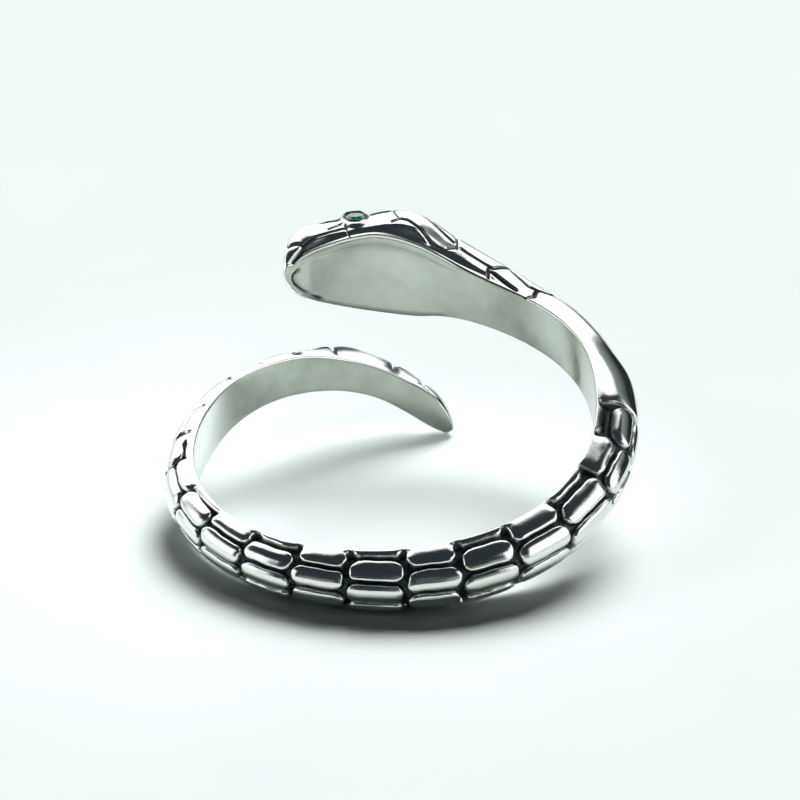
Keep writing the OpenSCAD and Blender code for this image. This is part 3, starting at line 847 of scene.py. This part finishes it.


# black velvet on card, paler toward the top: nearly no light comes back lower down, a
# little more where the pile lies over
def blackVelvet():
    settings = {
        "upright": "#1A1C1E",
        "flattened": "#4A5052",
        # the colour it turns toward the top
        "worn": "#E4E8E8",
        "paleFrom": 0.45,     # share of the height where it begins to turn pale
        "pileSize": 6,        # mm between the places where the pile lies over
    }
    material, tree = newMaterial("blackVelvet")
    coords = addNode(tree, "ShaderNodeTexCoord")
    pile = addNode(tree, "ShaderNodeTexNoise",
                   {"Scale": 1 / (settings["pileSize"] * mm), "Detail": 5, "Roughness": 0.7},
                   {"Vector": coords.outputs["Object"]})
    tone = addNode(tree, "ShaderNodeValToRGB", None, {"Fac": pile.outputs["Fac"]})
    setStops(tone, [(0.35, settings["upright"]), (0.65, settings["flattened"])])
    parts = addNode(tree, "ShaderNodeSeparateXYZ", None, {0: coords.outputs["Generated"]})
    fade = addNode(tree, "ShaderNodeMapRange", {"From Min": settings["paleFrom"], "From Max": 1},
                   {"Value": parts.outputs["Z"]})
    colour = addNode(tree, "ShaderNodeMix", {"data_type": "RGBA", 7: fromHex(settings["worn"])},
                     {0: fade.outputs[0], 6: tone.outputs["Color"]})
    shader = addNode(tree, "ShaderNodeBsdfPrincipled", {"Roughness": 0.9, "Specular IOR Level": 0.1},
                     {"Base Color": colour.outputs[2]})
    addNode(tree, "ShaderNodeOutputMaterial", None, {"Surface": shader.outputs[0]})
    return material


snake.data.materials.append(castPolishedSilver())
snake.data.materials.append(wheeledSilver())
stoneMaterial = cutGreenStone()
for name in ("eye_left", "eye_right"):
    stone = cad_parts[name]
    stone.data.materials.clear()
    stone.data.materials.append(stoneMaterial)
print("materials set")


# the floor, the light and the camera
studio = {
    "floorSize": 1.6,         # metres
    # a soft lamp behind the ring: its bearing and height (degrees), its width as seen from
    # the ring, and its strength
    "lamp": (19, 43, 37, 6.4),
    # a small soft lamp over the opening, which fills the shadow inside: place and width
    # (mm), and power (W)
    "fill": ((-5, 1, 15), 12, 0.0018),
    # a dark card to the right behind the ring, seen only in the silver: its ends (mm) and
    # its height
    "card": ((21, 33), (46, 8), 34),
    # the rest of the world: its colour level with the ring, and that from this height up
    "horizon": "#3A4143",
    "overhead": "#2E353B",
    "overheadFrom": 50,
    # two windows behind the ring, one on either side, and what stands in front of it:
    # middle and half width round the ring (0 is behind it, 90 to the right),
    # lowest and highest angle over the floor, softness, strength, colour
    "panels": [
        (-21, 33, 3, 61, 6, 1.6, "#FFFFFF"),
        (26, 12, 11, 61, 6, 1.6, "#FFFFFF"),
        (-86, 26, -4, 30, 6, 1.5, "#F6FBFF"),
        (98, 36, 2, 45, 6, 1.4, "#FFFFFF"),
        (150, 14, -3, 14, 6, 0.5, "#B9C4B4"),
        (-140, 12, -2, 12, 5, 0.35, "#C2B8A2"),
        (178, 9, 4, 30, 4, 0.12, "#A8B8C4"),
    ],
}


def makeFloor():
    half = studio["floorSize"] / 2
    corners = [(-half, -half, 0), (half, -half, 0), (half, half, 0), (-half, half, 0)]
    mesh = bpy.data.meshes.new("board")
    mesh.from_pydata(corners, [], [[0, 1, 2, 3]])
    mesh.materials.append(paintedBoard())
    board = bpy.data.objects.new("board", mesh)
    bpy.context.collection.objects.link(board)


def makeCard():
    (x1, y1), (x2, y2), high = studio["card"]
    corners = [(x1, y1, 0), (x2, y2, 0), (x2, y2, high), (x1, y1, high)]
    mesh = bpy.data.meshes.new("card")
    mesh.from_pydata([tuple(v * mm for v in corner) for corner in corners], [], [[0, 1, 2, 3]])
    mesh.materials.append(blackVelvet())
    card = bpy.data.objects.new("card", mesh)
    bpy.context.collection.objects.link(card)
    for ray in ("visible_camera", "visible_diffuse", "visible_shadow", "visible_transmission"):
        setattr(card, ray, False)


def makeWorld():
    world = bpy.data.worlds.new("studio")
    bpy.context.scene.world = world
    world.use_nodes = True
    tree = world.node_tree
    tree.nodes.clear()
    coords = addNode(tree, "ShaderNodeTexCoord")
    parts = addNode(tree, "ShaderNodeSeparateXYZ", None, {0: coords.outputs["Generated"]})
    around = addNode(tree, "ShaderNodeMath", {"operation": "ARCTAN2"},
                     {0: parts.outputs["X"], 1: parts.outputs["Y"]})
    height = addNode(tree, "ShaderNodeMath", {"operation": "ARCSINE"}, {0: parts.outputs["Z"]})
    rise = addNode(tree, "ShaderNodeMapRange", {"From Min": 0, "From Max": studio["overheadFrom"] * turn},
                   {"Value": height.outputs[0]})
    base = addNode(tree, "ShaderNodeMix", {
        "data_type": "RGBA", 6: fromHex(studio["horizon"]), 7: fromHex(studio["overhead"]),
    }, {0: rise.outputs[0]})
    total = base.outputs[2]
    for middle, half, low, high, soft, strength, code in studio["panels"]:
        aside = addNode(tree, "ShaderNodeMath", {"operation": "SUBTRACT", 1: middle * turn},
                        {0: around.outputs[0]})
        near = addNode(tree, "ShaderNodeMath", {"operation": "COSINE"}, {0: aside.outputs[0]})
        fades = [addNode(tree, "ShaderNodeMapRange", {
            "interpolation_type": "SMOOTHSTEP",
            "From Min": math.cos((half + soft) * turn), "From Max": math.cos((half - soft) * turn),
        }, {"Value": near.outputs[0]})]
        for edge, side in ((low, soft), (high, -soft)):
            fades.append(addNode(tree, "ShaderNodeMapRange", {
                "interpolation_type": "SMOOTHSTEP",
                "From Min": (edge - side) * turn, "From Max": (edge + side) * turn,
            }, {"Value": height.outputs[0]}))
        share = fades[0]
        for fade in fades[1:]:
            share = addNode(tree, "ShaderNodeMath", {"operation": "MULTIPLY"},
                            {0: share.outputs[0], 1: fade.outputs[0]})
        colour = [strength * v for v in fromHex(code)[:3]]
        lit = addNode(tree, "ShaderNodeVectorMath", {"operation": "SCALE", 0: colour},
                      {"Scale": share.outputs[0]})
        both = addNode(tree, "ShaderNodeVectorMath", {"operation": "ADD"}, {0: total, 1: lit.outputs[0]})
        total = both.outputs[0]
    sky = addNode(tree, "ShaderNodeBackground", None, {"Color": total})
    addNode(tree, "ShaderNodeOutputWorld", None, {"Surface": sky.outputs[0]})
    # the windows show in the silver, and the lamps alone light the board
    world.cycles_visibility.diffuse = False


# the lamps light the board but are not seen in the silver, as a bounced flash would be
def makeLamps():
    bearing, height, spread, strength = studio["lamp"]
    far = bpy.data.lights.new("softLamp", "SUN")
    far.angle = spread * turn
    far.energy = strength
    flat = math.cos(height * turn)
    toward = Vector((flat * math.sin(bearing * turn), flat * math.cos(bearing * turn),
                     math.sin(height * turn)))
    place, width, power = studio["fill"]
    near = bpy.data.lights.new("fillLamp", "AREA")
    near.shape = "DISK"
    near.size = width * mm
    near.energy = power
    for data, way, spot in ((far, toward, Vector()), (near, Vector((0, 0, 1)), Vector(place) * mm)):
        lamp = bpy.data.objects.new(data.name, data)
        lamp.location = spot
        lamp.rotation_euler = way.to_track_quat("Z", "Y").to_euler()
        lamp.visible_glossy = False
        lamp.visible_camera = False
        bpy.context.collection.objects.link(lamp)


# where the photograph was taken from, seen from the ring itself: distance, height over
# the plane of the finger opening, and where the middle of the opening is in the picture
view = {
    "distance": 300,          # mm
    "height": 32,             # degrees
    "pixelsPerMm": 22.45,
    "pictureWidth": 800,      # pixels
    "sensorWidth": 36,        # mm
    "openingPixel": (397.5, 512),
}


def makeCamera():
    h = view["height"] * turn
    upward = Vector((0, math.sin(h), math.cos(h)))
    back = Vector((0, -math.cos(h), math.sin(h)))
    centre = view["pictureWidth"] / 2
    aside = (centre - view["openingPixel"][0]) / view["pixelsPerMm"]
    above = (view["openingPixel"][1] - centre) / view["pixelsPerMm"]
    target = Vector((aside, 0, 0)) + above * upward
    eyePoint = view["distance"] * back
    right = Matrix.Rotation(casting["leanRight"] * turn, 3, "Y")
    lean = right @ Matrix.Rotation(casting["leanFront"] * turn, 3, "X")
    z = (lean @ (eyePoint - target)).normalized()
    x = (lean @ upward).cross(z).normalized()
    y = z.cross(x)
    data = bpy.data.cameras.new("camera")
    data.sensor_width = view["sensorWidth"]
    data.lens = view["sensorWidth"] * view["distance"] * view["pixelsPerMm"] / view["pictureWidth"]
    camera = bpy.data.objects.new("camera", data)
    place = Matrix.Translation(lean @ eyePoint * mm + Vector(ringOrigin))
    camera.matrix_world = place @ Matrix((x, y, z)).transposed().to_4x4()
    bpy.context.collection.objects.link(camera)
    bpy.context.scene.camera = camera


makeFloor()
makeCard()
makeWorld()
makeLamps()
makeCamera()
bpy.context.scene.view_settings.view_transform = "Standard"
print("studio set")
